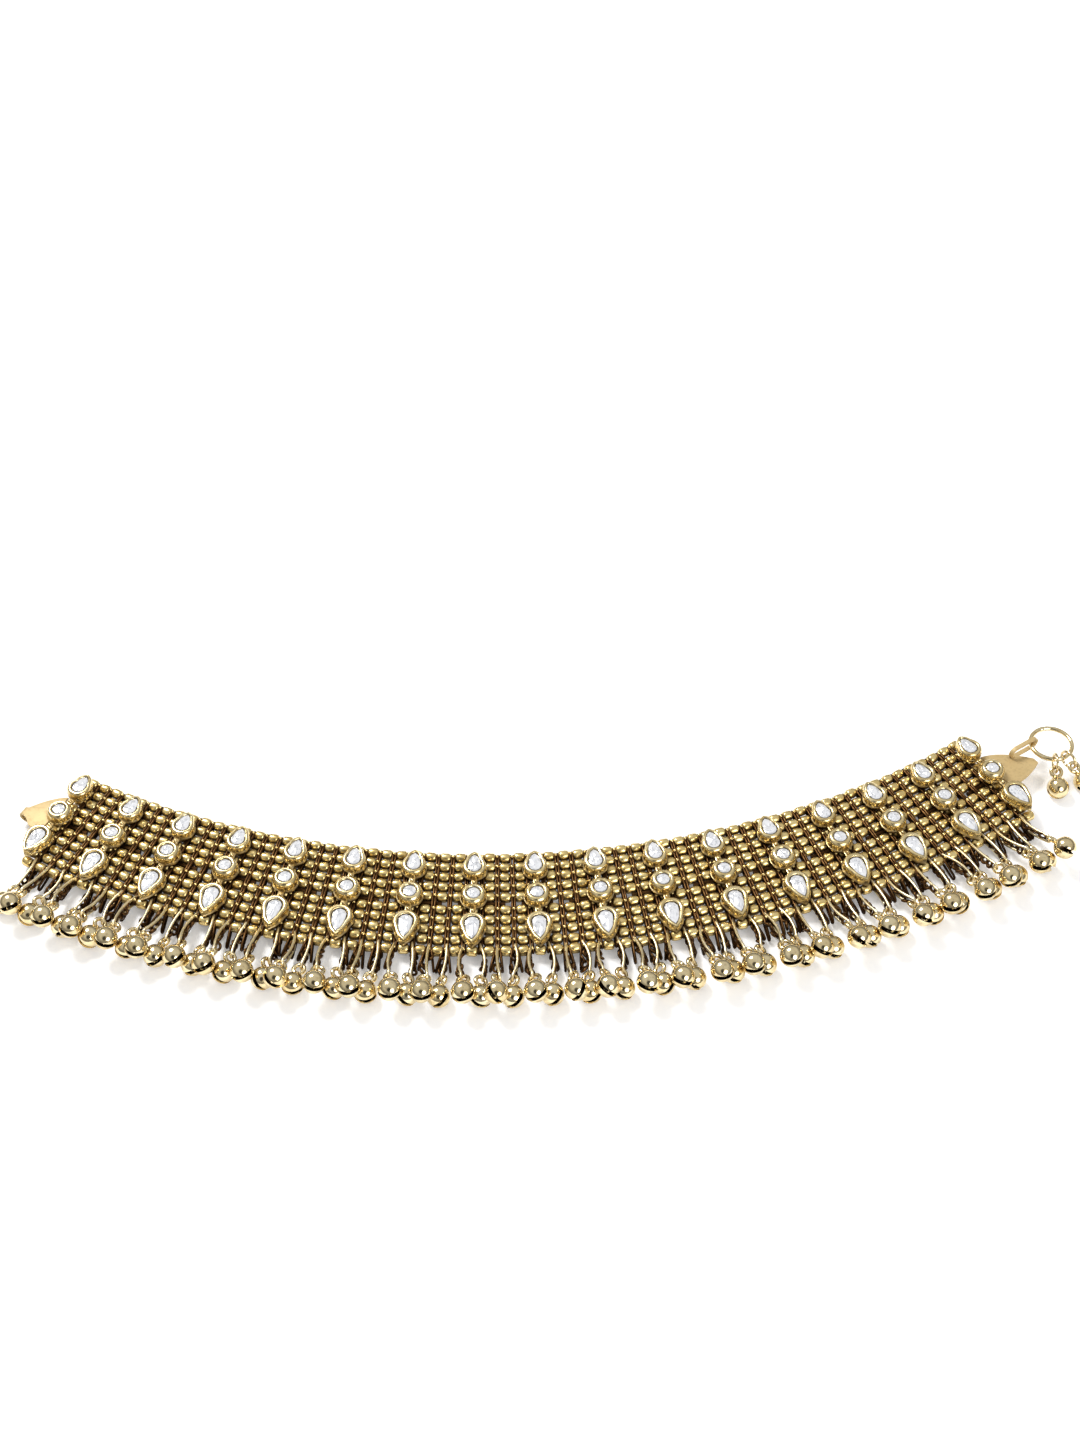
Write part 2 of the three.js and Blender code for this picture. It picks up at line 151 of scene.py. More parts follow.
def addPiece(name, bm, body, materials, replaced=()):
    mesh = asMesh(bm, name)
    for material in materials:
        mesh.materials.append(material)
    piece = bpy.data.objects.new(name, mesh)
    bpy.context.scene.collection.objects.link(piece)
    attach(piece, body)
    if replaced:
        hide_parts(*replaced)
    return piece


def addRing(bm, outerDiameter, wire, steps, sides, matrix, cut=0):  # cut is the angle left open
    ringMesh = bmesh.new()
    radius = (outerDiameter - wire) / 2
    made = bmesh.ops.create_circle(
        ringMesh, segments=sides, radius=wire / 2,
        matrix=Matrix.Translation((radius, 0, 0)) @ Matrix.Rotation(math.pi / 2, 4, "X"))
    edges = list({e for v in made["verts"] for e in v.link_edges})
    bmesh.ops.spin(
        ringMesh, geom=made["verts"] + edges, cent=(0, 0, 0), axis=(0, 0, 1),
        angle=2 * math.pi - cut, steps=steps, use_merge=not cut)
    if cut:
        bmesh.ops.holes_fill(ringMesh, edges=[e for e in ringMesh.edges if e.is_boundary], sides=sides)
    bmesh.ops.recalc_face_normals(ringMesh, faces=ringMesh.faces)
    smooth(ringMesh.faces)
    mesh = asMesh(ringMesh, "ringDraft")
    addCopy(bm, mesh, matrix)
    bpy.data.meshes.remove(mesh)


# Materials: gold plate on Object coordinates, darker low down and in crevices: partly a brown patina,
# partly painted shade

def addNode(tree, kind, **values):
    node = tree.nodes.new(kind)
    for key, value in values.items():
        if key in node.inputs:
            node.inputs[key].default_value = value
        else:
            setattr(node, key, value)
    return node


def join(source, output, target, socket):
    source.id_data.links.new(source.outputs[output], target.inputs[socket])


def addMapRange(tree, low=0.0, high=1.0, toLow=0.0, toHigh=1.0):
    return addNode(tree, "ShaderNodeMapRange", **{
        "From Min": low, "From Max": high, "To Min": toLow, "To Max": toHigh})


noise = {"tone": (0.35, 0.65), "speck": (0.3, 0.7), "grainDepth": 0.05 * mm}


def goldMaterial(name, look):
    material = bpy.data.materials.new(name)
    material.use_nodes = True
    tree = material.node_tree
    shader = tree.nodes["Principled BSDF"]
    coords = addNode(tree, "ShaderNodeTexCoord")
    tone = addNode(tree, "ShaderNodeTexNoise", Scale=look["toneScale"], Detail=3.0)
    join(coords, "Object", tone, "Vector")
    toneMix = addNode(tree, "ShaderNodeMix", data_type="RGBA")
    toneMix.inputs["A"].default_value = (*look["colour"], 1)
    toneMix.inputs["B"].default_value = (*look["warm"], 1)
    toneRamp = addMapRange(tree, *noise["tone"])
    join(tone, "Fac", toneRamp, "Value")
    join(toneRamp, "Result", toneMix, "Factor")

    # brown patina together with painted shade: darker at low places and in crevices, broken up by a finer
    # noise
    split = addNode(tree, "ShaderNodeSeparateXYZ")
    join(coords, "Object", split, "Vector")
    speck = addNode(tree, "ShaderNodeTexNoise", Scale=look["speckScale"], Detail=4.0)
    join(coords, "Object", speck, "Vector")
    height = addMapRange(tree, look["patinaShadeLow"], look["patinaShadeHigh"])
    join(split, "Z", height, "Value")
    speckRamp = addMapRange(tree, *noise["speck"], -look["speckAmount"], look["speckAmount"])
    join(speck, "Fac", speckRamp, "Value")
    crevice = addNode(tree, "ShaderNodeAmbientOcclusion", samples=6, Distance=look["creviceReach"])
    openness = addMapRange(tree, look["creviceLow"], look["creviceHigh"])
    join(crevice, "AO", openness, "Value")
    exposed = addNode(tree, "ShaderNodeMath", operation="MULTIPLY")
    join(height, "Result", exposed, 0)
    join(openness, "Result", exposed, 1)
    bright = addNode(tree, "ShaderNodeMath", operation="ADD", use_clamp=True)
    join(exposed, "Value", bright, 0)
    join(speckRamp, "Result", bright, 1)
    patinaShade = addNode(tree, "ShaderNodeMix", data_type="RGBA")
    patinaShade.inputs["A"].default_value = (*look["patinaShade"], 1)
    join(bright, "Value", patinaShade, "Factor")
    join(toneMix, "Result", patinaShade, "B")
    join(patinaShade, "Result", shader, "Base Color")

    rough = addMapRange(tree, toLow=look["roughLow"], toHigh=look["roughHigh"])
    join(bright, "Value", rough, "Value")
    join(rough, "Result", shader, "Roughness")
    shader.inputs["Metallic"].default_value = look["metallic"]

    grain = addNode(tree, "ShaderNodeTexNoise", Scale=look["grainScale"], Detail=2.0)
    join(coords, "Object", grain, "Vector")
    bump = addNode(tree, "ShaderNodeBump", Strength=look["grain"], Distance=noise["grainDepth"])
    join(grain, "Fac", bump, "Height")
    join(bump, "Normal", shader, "Normal")
    return material


# beads: the height ramp paints shade, with lit crowns and darker lower sides; the crevice ramp darkens the
# gaps between beads, partly patina and partly painted shade
beadLook = {
    "creviceReach": 1.6 * mm, "creviceLow": 0.28, "creviceHigh": 0.72,
    "colour": (0.88, 0.71, 0.34), "warm": (0.74, 0.54, 0.21), "patinaShade": (0.09, 0.04, 0.01),
    "patinaShadeLow": 0.95 * mm, "patinaShadeHigh": 2.05 * mm,
    "toneScale": 330.0, "speckScale": 1800.0, "speckAmount": 0.18,
    "roughLow": 0.6, "roughHigh": 0.27, "metallic": 1.0, "grainScale": 2600.0, "grain": 0.14,
}
settingLook = {
    "creviceReach": 1.2 * mm, "creviceLow": 0.3, "creviceHigh": 0.75,
    "colour": (0.84, 0.7, 0.4), "warm": (0.72, 0.55, 0.26), "patinaShade": (0.18, 0.1, 0.03),
    "patinaShadeLow": 2.8 * mm, "patinaShadeHigh": 4.3 * mm,
    "toneScale": 300.0, "speckScale": 1600.0, "speckAmount": 0.12,
    "roughLow": 0.55, "roughHigh": 0.24, "metallic": 1.0, "grainScale": 2400.0, "grain": 0.1,
}
bellLook = {
    "creviceReach": 1.5 * mm, "creviceLow": 0.15, "creviceHigh": 0.55,
    "colour": (0.86, 0.74, 0.47), "warm": (0.76, 0.6, 0.32), "patinaShade": (0.3, 0.18, 0.07),
    "patinaShadeLow": -1.5 * mm, "patinaShadeHigh": 1.5 * mm,
    "toneScale": 220.0, "speckScale": 1400.0, "speckAmount": 0.3,
    "roughLow": 0.35, "roughHigh": 0.14, "metallic": 1.0, "grainScale": 1800.0, "grain": 0.12,
}
plateLook = {
    "creviceReach": 1.0 * mm, "creviceLow": 0.1, "creviceHigh": 0.5,
    "colour": (0.6, 0.45, 0.22), "warm": (0.56, 0.41, 0.19), "patinaShade": (0.26, 0.17, 0.07),
    "patinaShadeLow": 0.0, "patinaShadeHigh": 1.5 * mm,
    "toneScale": 160.0, "speckScale": 1500.0, "speckAmount": 0.25,
    "roughLow": 0.65, "roughHigh": 0.56, "metallic": 0.35, "grainScale": 3000.0, "grain": 0.35,
}
# dark oxidised wire, made darker still as painted shade: the links, lacing, ties and small rings fill the
# gaps between beads and above the bells, where shade falls
linkLook = {
    "creviceReach": 1.2 * mm, "creviceLow": 0.3, "creviceHigh": 0.9,
    "colour": (0.13, 0.066, 0.024), "warm": (0.07, 0.034, 0.012), "patinaShade": (0.03, 0.013, 0.005),
    "patinaShadeLow": 1.4 * mm, "patinaShadeHigh": 2.6 * mm,
    "toneScale": 700.0, "speckScale": 1800.0, "speckAmount": 0.25,
    "roughLow": 0.6, "roughHigh": 0.32, "metallic": 1.0, "grainScale": 2600.0, "grain": 0.2,
}
wireLook = dict(
    bellLook, colour=(0.92, 0.82, 0.56), warm=(0.84, 0.7, 0.42), patinaShade=(0.34, 0.21, 0.09),
    roughLow=0.5, roughHigh=0.33)
# painted shade for hollows: the inside of the bells and the faces inside the setting lips
insideShadeLook = dict(
    linkLook, colour=(0.12, 0.07, 0.03), warm=(0.07, 0.035, 0.015), patinaShade=(0.04, 0.02, 0.01))
steelLook = dict(
    bellLook, colour=(0.5, 0.5, 0.49), warm=(0.4, 0.39, 0.37), patinaShade=(0.12, 0.11, 0.1))
beadGold = goldMaterial("beadGold", beadLook)
settingGold = goldMaterial("settingGold", settingLook)
bellGold = goldMaterial("bellGold", bellLook)
plateGold = goldMaterial("plateGold", plateLook)
linkGold = goldMaterial("linkGold", linkLook)
paintedShadeInside = goldMaterial("paintedShadeInside", insideShadeLook)
wireGold = goldMaterial("wireGold", wireLook)
pelletSteel = goldMaterial("pelletSteel", steelLook)


# the dark and light colours of the stones' painted reflection
stoneLook = {
    "dark": (0.3, 0.32, 0.36), "light": (0.8, 0.81, 0.84), "metallic": 0.35, "roughness": 0.12,
    "coat": 1.0, "coatRoughness": 0.02,
}


# the stones are drawn opaque, and each facet's lighter or darker colour is a painted reflection
def stoneMaterial():  # glass on silver foil: each facet mirrors more or less light
    material = bpy.data.materials.new("clearStone")
    material.use_nodes = True
    tree = material.node_tree
    shader = tree.nodes["Principled BSDF"]
    facet = addNode(tree, "ShaderNodeAttribute", attribute_name="facetReflection")
    shade = addNode(tree, "ShaderNodeMix", data_type="RGBA")
    shade.inputs["A"].default_value = (*stoneLook["dark"], 1)
    shade.inputs["B"].default_value = (*stoneLook["light"], 1)
    join(facet, "Fac", shade, "Factor")
    join(shade, "Result", shader, "Base Color")
    shader.inputs["Metallic"].default_value = stoneLook["metallic"]
    shader.inputs["Roughness"].default_value = stoneLook["roughness"]
    shader.inputs["Coat Weight"].default_value = stoneLook["coat"]
    shader.inputs["Coat Roughness"].default_value = stoneLook["coatRoughness"]
    return material


clearStone = stoneMaterial()
print("materials made")


# Camera and light

view = {
    "elevation": math.radians(48),
    "turn": math.radians(3.33),
    "distance": 449 * mm,
    "target": Vector((3.6, 52.3, 0)) * mm,
    "lens": 50,
    "sensor": 36,
    "clipStart": 10 * mm,
}
studio = {
    "floorTones": ((0.94, 0.94, 0.945), (0.92, 0.92, 0.93)),
    "floorSize": 6,
    "floorDrop": 0.02 * mm,
    "floorRoughness": 0.8,
    "floorSpecular": 0.1,
    "paperScale": 60.0,
    "floorLift": 0.24,  # the floor's own light, so that its shadow stays faint
    "strength": 0.66,
    "levels": ((0.0, 0.2), (0.3, 0.46), (0.6, 1.0)),  # a direction's height and its brightness
    "tint": (1, 0.99, 0.97),
    "roomEdge": (0.9, 0.96),
    "roomLevel": 0.06,
}
lamps = {
    "keyLamp": {"size": 0.32, "power": 7.0, "place": (-0.35, 0.45, 0.75)},
    "fillLamp": {"size": 0.5, "power": 3.4, "place": (0.35, -0.6, 0.42)},
}


def cameraSide():  # unit vector from the anklet to the camera
    level = math.cos(view["elevation"])
    turn = view["turn"]
    return Vector((-math.sin(turn) * level, -math.cos(turn) * level, math.sin(view["elevation"])))


def addCamera():
    data = bpy.data.cameras.new("camera")
    data.sensor_width = view["sensor"]
    data.lens = view["lens"]
    data.clip_start = view["clipStart"]
    camera = bpy.data.objects.new("camera", data)
    bpy.context.scene.collection.objects.link(camera)
    forward = -cameraSide()
    camera.location = restPoint + view["target"] - forward * view["distance"]
    camera.rotation_mode = "QUATERNION"
    camera.rotation_quaternion = forward.to_track_quat("-Z", "Y")
    bpy.context.scene.camera = camera


def addLamp(name, size, power, place):  # aimed at the middle of the anklet
    data = bpy.data.lights.new(name, "AREA")
    data.shape = "DISK"
    data.size = size
    data.energy = power
    lamp = bpy.data.objects.new(name, data)
    bpy.context.scene.collection.objects.link(lamp)
    lamp.location = place
    lamp.rotation_mode = "QUATERNION"
    lamp.rotation_quaternion = (-Vector(place)).to_track_quat("-Z", "Y")


def addFloor():
    floorMaterial = bpy.data.materials.new("paleFloor")
    floorMaterial.use_nodes = True
    tree = floorMaterial.node_tree
    shader = tree.nodes["Principled BSDF"]
    coords = addNode(tree, "ShaderNodeTexCoord")
    paper = addNode(tree, "ShaderNodeTexNoise", Scale=studio["paperScale"])
    join(coords, "Object", paper, "Vector")
    tone = addNode(tree, "ShaderNodeMix", data_type="RGBA")
    for socket, colour in zip(("A", "B"), studio["floorTones"]):
        tone.inputs[socket].default_value = (*colour, 1)
    join(paper, "Fac", tone, "Factor")
    join(tone, "Result", shader, "Base Color")
    shader.inputs["Roughness"].default_value = studio["floorRoughness"]
    shader.inputs["Specular IOR Level"].default_value = studio["floorSpecular"]
    lightPath = addNode(tree, "ShaderNodeLightPath")
    seen = addNode(tree, "ShaderNodeMath", operation="MAXIMUM")
    join(lightPath, "Is Camera Ray", seen, 0)
    join(lightPath, "Is Glossy Ray", seen, 1)
    seenThrough = addNode(tree, "ShaderNodeMath", operation="MAXIMUM")
    join(seen, "Value", seenThrough, 0)
    join(lightPath, "Is Transmission Ray", seenThrough, 1)
    lift = addNode(tree, "ShaderNodeMath", operation="MULTIPLY")
    lift.inputs[1].default_value = studio["floorLift"]
    join(seenThrough, "Value", lift, 0)
    join(lift, "Value", shader, "Emission Strength")
    shader.inputs["Emission Color"].default_value = (1, 1, 1, 1)
    bm = bmesh.new()
    bmesh.ops.create_grid(bm, x_segments=1, y_segments=1, size=studio["floorSize"])
    bmesh.ops.translate(bm, vec=(0, 0, -studio["floorDrop"]), verts=bm.verts)
    mesh = asMesh(bm, "floor")
    mesh.materials.append(floorMaterial)
    floor = bpy.data.objects.new("floor", mesh)
    bpy.context.scene.collection.objects.link(floor)


def addWorld():  # paler upwards, with a dark room behind the camera, and white where it is seen
    world = bpy.data.worlds.new("studio")
    bpy.context.scene.world = world
    world.use_nodes = True
    tree = world.node_tree
    background = tree.nodes["Background"]
    coords = addNode(tree, "ShaderNodeTexCoord")
    split = addNode(tree, "ShaderNodeSeparateXYZ")
    join(coords, "Generated", split, "Vector")
    ramp = addNode(tree, "ShaderNodeValToRGB")
    stops = ramp.color_ramp.elements
    for position, level in studio["levels"]:
        stop = stops.new(position) if position else stops[0]
        stop.color = (*[level * share for share in studio["tint"]], 1)
    stops[-1].color = (1, 1, 1, 1)
    join(split, "Z", ramp, "Fac")
    away = addNode(tree, "ShaderNodeVectorMath", operation="DOT_PRODUCT")
    join(coords, "Generated", away, 0)
    away.inputs[1].default_value = cameraSide()
    hollow = addMapRange(tree, *studio["roomEdge"], 1.0, studio["roomLevel"])
    join(away, "Value", hollow, "Value")
    room = addNode(tree, "ShaderNodeVectorMath", operation="SCALE")
    join(ramp, "Color", room, 0)
    join(hollow, "Result", room, "Scale")
    lightPath = addNode(tree, "ShaderNodeLightPath")
    white = addNode(tree, "ShaderNodeMix", data_type="RGBA")
    join(lightPath, "Is Camera Ray", white, "Factor")
    join(room, "Vector", white, "A")
    white.inputs["B"].default_value = (1, 1, 1, 1)
    join(white, "Result", background, "Color")
    background.inputs["Strength"].default_value = studio["strength"]


addCamera()
addFloor()
addWorld()
for name, lamp in lamps.items():
    addLamp(name, **lamp)
bpy.context.scene.view_settings.view_transform = "Standard"
print("camera and studio made")


# Ball chain: beads on short wires, with oval links that tie each row's wires to the next row's

chain = {
    "bead": 2.2 * mm,
    "beadLength": 2.38 * mm,
    "barrelBevel": 0.6 * mm,
    "beadSides": 10,
    "wire": 0.5 * mm,
    "wireSides": 6,
    "knot": 0.74 * mm,
    "knotRise": 0.7 * mm,
    "knotScatter": 0.12 * mm,
    "wireGap": 0.1 * mm,
    "link": 0.56 * mm,
    "linkSides": 5,
    "linkSteps": 4,
    "linkHalf": 0.58 * mm,
    "linkShift": 0.26 * mm,
    "linkScatter": 0.05 * mm,
    "lace": 1.0 * mm,
    "laceSides": 8,
    "laceHeight": 1.75 * mm,
    "laceScatter": 0.1 * mm,
    "shift": 0.07 * mm,
    "lean": math.radians(7),
    "sizeShares": (0.97, 1.02),
}


def beadDraft():
    bm = bmesh.new()
    radius = chain["bead"] / 2
    bmesh.ops.create_cone(
        bm, cap_ends=True, segments=chain["beadSides"], radius1=radius, radius2=radius,
        depth=chain["beadLength"], matrix=Matrix.Rotation(math.pi / 2, 4, "Y"))
    rims = [e for e in bm.edges if abs(e.verts[0].co.x - e.verts[1].co.x) < tiny]
    bmesh.ops.bevel(
        bm, geom=rims, offset=chain["barrelBevel"], offset_type="OFFSET", affect="EDGES", segments=3,
        profile=0.5, material=-1)
    smooth(bm.faces)
    return asMesh(bm, "beadDraft")


def wireLoopDraft(length, half, wire, sides, steps, bow=0):  # a closed loop towards -Y, round two places
    bm = bmesh.new()
    far = Vector((0, -length, 0))
    made = bmesh.ops.create_circle(
        bm, segments=sides, radius=wire / 2,
        matrix=Matrix.Translation((0, 0, half)) @ Matrix.Rotation(math.pi / 2, 4, "X"))
    first = list({e for v in made["verts"] for e in v.link_edges})
    turned = bmesh.ops.spin(
        bm, geom=made["verts"] + first, cent=(0, 0, 0), axis=(1, 0, 0), angle=-math.pi, steps=steps)
    end = [g for g in turned["geom_last"] if isinstance(g, bmesh.types.BMEdge)]
    moved = bmesh.ops.extrude_edge_only(bm, edges=end)
    verts = [g for g in moved["geom"] if isinstance(g, bmesh.types.BMVert)]
    edges = [g for g in moved["geom"] if isinstance(g, bmesh.types.BMEdge)]
    edges = [e for e in edges if all(v in verts for v in e.verts)]
    bmesh.ops.translate(bm, vec=far, verts=verts)
    turned = bmesh.ops.spin(
        bm, geom=verts + edges, cent=far, axis=(1, 0, 0), angle=-math.pi, steps=steps)
    last = [g for g in turned["geom_last"] if isinstance(g, bmesh.types.BMEdge)]
    bmesh.ops.bridge_loops(bm, edges=first + last)
    if bow:
        longEdges = [e for e in bm.edges if e.calc_length() > length / 2]
        bmesh.ops.subdivide_edges(bm, edges=longEdges, cuts=5, use_grid_fill=True)
        for vert in bm.verts:
            share = min(max(-vert.co.y / length, 0), 1)
            vert.co.x += 4 * bow * share * (1 - share)
    bmesh.ops.recalc_face_normals(bm, faces=bm.faces)
    smooth(bm.faces)
    return asMesh(bm, "loopDraft")


def towards(start, end):  # a frame at start with -Y along the way to end, and Z up
    back = (start - end).normalized()
    side = back.cross(Vector((0, 0, 1))).normalized()
    up = side.cross(back)
    return Matrix.Translation(start) @ Matrix((side, back, up)).transposed().to_4x4()


beadMesh = beadDraft()
rowLinkMesh, bandLinkMesh = [
    wireLoopDraft(length, chain["linkHalf"], chain["link"], chain["linkSides"], chain["linkSteps"])
    for length in (strap["rowPitch"], strap["rowPitch"] + strap["bandGap"])]


def addBead(bm, place, turn):
    jitter = Vector([scatter(chain["shift"]) for _ in range(3)])
    lean = Matrix.Rotation(scatter(chain["lean"]), 4, "Z")
    roll = Matrix.Rotation(scatter(math.pi / chain["beadSides"]), 4, "X")
    size = Matrix.Scale(random.uniform(*chain["sizeShares"]), 4)
    addCopy(bm, beadMesh, turn @ Matrix.Translation(place + jitter) @ lean @ roll @ size)


def addWire(bm, start, end, turn, kind="wire"):
    facing = (end - start).to_track_quat("Z", "Y").to_matrix().to_4x4()
    radius = chain[kind] / 2
    bmesh.ops.create_cone(
        bm, cap_ends=True, segments=chain[kind + "Sides"], radius1=radius, radius2=radius,
        depth=(end - start).length, matrix=turn @ Matrix.Translation((start + end) / 2) @ facing)


def addKnot(bm, place, turn):
    rise = Vector((scatter(chain["knotScatter"]), 0, chain["knotRise"]))
    made = bmesh.ops.create_icosphere(
        bm, subdivisions=2, radius=chain["knot"] / 2, matrix=turn @ Matrix.Translation(place + rise))
    smooth({f for v in made["verts"] for f in v.link_faces})


def addChainRow(bm, motif, row):
    turn = segmentMatrix(motif)
    across = rowAcross(row)
    pitch = strap["columnPitch"] * spread(across)
    places = [Vector((c * pitch, across, strap["beadHeight"])) for c in segmentColumns(motif)]
    for place in places:
        addBead(bm, place, turn)
    for here, there in zip(places, places[1:]):
        addWire(bm, here, there, turn)
        addKnot(bm, (here + there) / 2, turn)
    side = segmentSide(motif)  # the wire across the bend reaches the inner neighbour's bead
    if side:
        outer = places[-1] if side < 0 else places[0]
        gap = (pitch - chain["beadLength"] / 2 - chain["wireGap"]) * -side
        addWire(bm, outer, outer + Vector((gap, 0, 0)), turn)
        addKnot(bm, outer - Vector((side * pitch / 2, 0, 0)), turn)


def addRowLinks(bm, motif, row):
    turn = segmentMatrix(motif)
    isBandGap = row == strap["rows"] // 2 - 1
    for gap in segmentGaps(motif):
        for side in (-1, 1):
            shift = Vector((chain["linkShift"] * side + scatter(chain["linkScatter"]), 0, 0))
            ends = []
            for across in (rowAcross(row), rowAcross(row + 1)):
                place = Vector((gap * strap["columnPitch"] * spread(across), across, strap["beadHeight"]))
                ends.append(place + shift)
            addCopy(bm, bandLinkMesh if isBandGap else rowLinkMesh, turn @ towards(*ends))


# the lacing is dark wire, darkened as painted shade in the band gap where the floor would show through
def addLacing(bm, motif):  # dark wires in the wider gap between the two bands of rows
    turn = segmentMatrix(motif)
    columns = segmentColumns(motif)
    for pair in zip(columns, columns[1:]):
        height = chain["laceHeight"] + scatter(chain["laceScatter"])
        start, end = [Vector((c * strap["columnPitch"], 0, height)) for c in pair]
        addWire(bm, start, end, turn, "lace")


def addBeadRows(motif):
    beads = bmesh.new()
    rowLinks = bmesh.new()
    for row in range(strap["rows"] - 1):
        addChainRow(beads, motif, row)
        addRowLinks(rowLinks, motif, row)
    addLacing(rowLinks, motif)
    number = tag(motif)
    addPiece(f"beads_{number}", beads, f"strap_{number}", [beadGold], [f"bead_panel_{number}"])
    # the chain links are dark: oxidised wire and painted shade between the bead columns
    addPiece(f"chain_links_{number}", rowLinks, f"strap_{number}", [linkGold])


random.seed(11)
for motif in range(1, strap["motifs"] + 1):
    addBeadRows(motif)
print("ball chain made")


# Stone settings. Each is a stack of steps in from its outline: inset and rise in millimetres.

topSetting = {
    "width": 5.3 * mm, "length": 6.6 * mm, "across": 8.1 * mm, "tip": 1, "sides": 64, "tipKeep": 0.5,
    "milled": 0,
    "steps": [
        (0.08, 0.05), (0.04, 1.05), (0.12, 0.3), (0.2, 0.24), (0.28, 0.1), (0.22, -0.05), (0.16, -0.18),
        (0.08, -0.35)],
}
midSetting = {
    "width": 5.6 * mm, "length": 5.6 * mm, "across": 0.3 * mm, "tip": 0, "sides": 56, "tipKeep": 0,
    "milled": 0,
    "steps": [
        (0.12, 0.05), (0.05, 1.1), (0.18, 0.4), (0.3, 0.34), (0.3, 0.12), (0.22, -0.05), (0.16, -0.18),
        (0.06, -0.35)],
}
lowSetting = {
    "width": 5.8 * mm, "length": 8.1 * mm, "across": -8.15 * mm, "tip": -1, "sides": 96, "tipKeep": 0.6,
    "milled": 0.045 * mm, "milledSteps": (3, 4),
    "steps": [
        (0.08, 0.05), (0.04, 0.95), (0.12, 0.3), (0.2, 0.24), (0.34, 0.1), (0.3, -0.05), (0.2, -0.18),
        (0.1, -0.35)],
}
cup = {
    "base": 3.3 * mm,
    "flange": 0.4 * mm,
    "granules": 26,
    "granule": 0.5 * mm,
    "granuleInset": 0.26 * mm,
    "granuleRise": 0.5 * mm,
    "sideBulge": 0.4 * mm,
    "bridgeWidth": 1.3 * mm,
    "bridgeHeight": 0.7 * mm,
    "bridgeOverlap": 0.8 * mm,
    "bridgeEdge": 0.2 * mm,
    "dot": 0.9 * mm,
    "endRise": 0.8 * mm,  # the end motifs stand on the end plates
    "smoothDegrees": 38,
}
stone = {
    "sides": 14, "girdle": 0.3 * mm, "sink": 0.1 * mm, "jitter": 0.06 * mm, "fit": 0.91,
    "facets": [(0.8, 0.13), (0.64, 0.08), (0.5, 0.03)],  # each ring's share of the last, and its rise in mm
    # each facet's painted reflection level, picked at random with these weights
    "reflectionLevels": (1.0, 0.85, 0.5), "reflectionWeights": (7, 3, 2),
}
leaf = {
    "width": 5.6 * mm, "length": 8.5 * mm, "thickness": 0.5 * mm, "sides": 36, "pointPower": 0.35,
    "edge": 0.1 * mm, "rivet": 0.8 * mm, "rivetOverlap": 0.4 * mm,
}


def outlinePoint(setting, share):  # share runs once round the outline, from the tip
    radius = setting["width"] / 2
    if not setting["tip"]:
        return Vector((radius * math.sin(share * 2 * math.pi), radius * math.cos(share * 2 * math.pi)))
    tipReach = setting["length"] - radius
    lean = math.acos(radius / tipReach)  # from the tip's direction to where the side meets the arc
    side = tipReach * math.sin(lean)
    arc = radius * (math.pi - lean)
    mirror = 1 if share <= 0.5 else -1
    run = 2 * min(share, 1 - share) * (side + arc)
    if run < side:
        start = Vector((0, tipReach))
        end = Vector((radius * math.sin(lean), radius * math.cos(lean)))
        outward = Vector((math.sin(lean), math.cos(lean)))
        point = start.lerp(end, run / side) + outward * cup["sideBulge"] * math.sin(math.pi * run / side)
    else:
        angle = lean + (run - side) / radius
        point = Vector((radius * math.sin(angle), radius * math.cos(angle)))
    point = Vector((point.x * mirror, point.y - (tipReach - radius) / 2))
    return point * setting["tip"]


def addOutlineBlock(bm, setting, sides, bottom, top):
    made = bmesh.ops.create_cone(bm, cap_ends=True, segments=sides, radius1=1, radius2=1, depth=2)
    for vert in made["verts"]:
        share = math.atan2(vert.co.x, vert.co.y) / (2 * math.pi) % 1
        flat = outlinePoint(setting, round(share * sides) % sides / sides)
        vert.co = Vector((flat.x, flat.y + setting["across"], top if vert.co.z > 0 else bottom))
    faces = {face for vert in made["verts"] for face in vert.link_faces}
    middle = (top + bottom) / 2
    return next(f for f in faces if len(f.verts) == sides and f.calc_center_median().z > middle)


def stepIn(bm, face, centre, share, rise, tip=0, tipKeep=0):  # a ring further in, longer towards the tip
    face = bmesh.ops.extrude_discrete_faces(bm, faces=[face])["faces"][0]
    bmesh.ops.scale(bm, vec=(share, share, 1), space=Matrix.Translation(-centre), verts=face.verts)
    tipSide = [v for v in face.verts if (v.co.y - centre.y) * tip > 0]
    stretch = share ** -tipKeep
    bmesh.ops.scale(bm, vec=(1, stretch, 1), space=Matrix.Translation(-centre), verts=tipSide)
    bmesh.ops.translate(bm, vec=(0, 0, rise), verts=face.verts)
    return face


def arcCentre(setting):
    return Vector((0, setting["across"] - setting["tip"] * (setting["length"] - setting["width"]) / 2, 0))


def millWall(face, setting, centre):  # every other point of the ring stands out
    ring = sorted(face.verts, key=lambda v: math.atan2(v.co.x - centre.x, v.co.y - centre.y))
    for vert in ring[::2]:
        outward = Vector((vert.co.x - centre.x, vert.co.y - centre.y, 0)).normalized()
        vert.co += outward * setting["milled"]


def addCup(bm, setting, base):
    face = addOutlineBlock(bm, setting, setting["sides"], base, base + cup["flange"])
    centre = arcCentre(setting)
    radius = setting["width"] / 2
    for number, (inset, rise) in enumerate(setting["steps"]):
        share = (radius - inset * mm) / radius
        face = stepIn(bm, face, centre, share, rise * mm, setting["tip"], setting["tipKeep"])
        radius -= inset * mm
        # the faces inside the lip take the painted shade material
        if number == len(setting["steps"]) - 1:  # inside the lip it is dark
            for side in {f for e in face.edges for f in e.link_faces}:
                side.material_index = 1
        if setting["milled"] and number in setting["milledSteps"]:
            millWall(face, setting, centre)
    return face


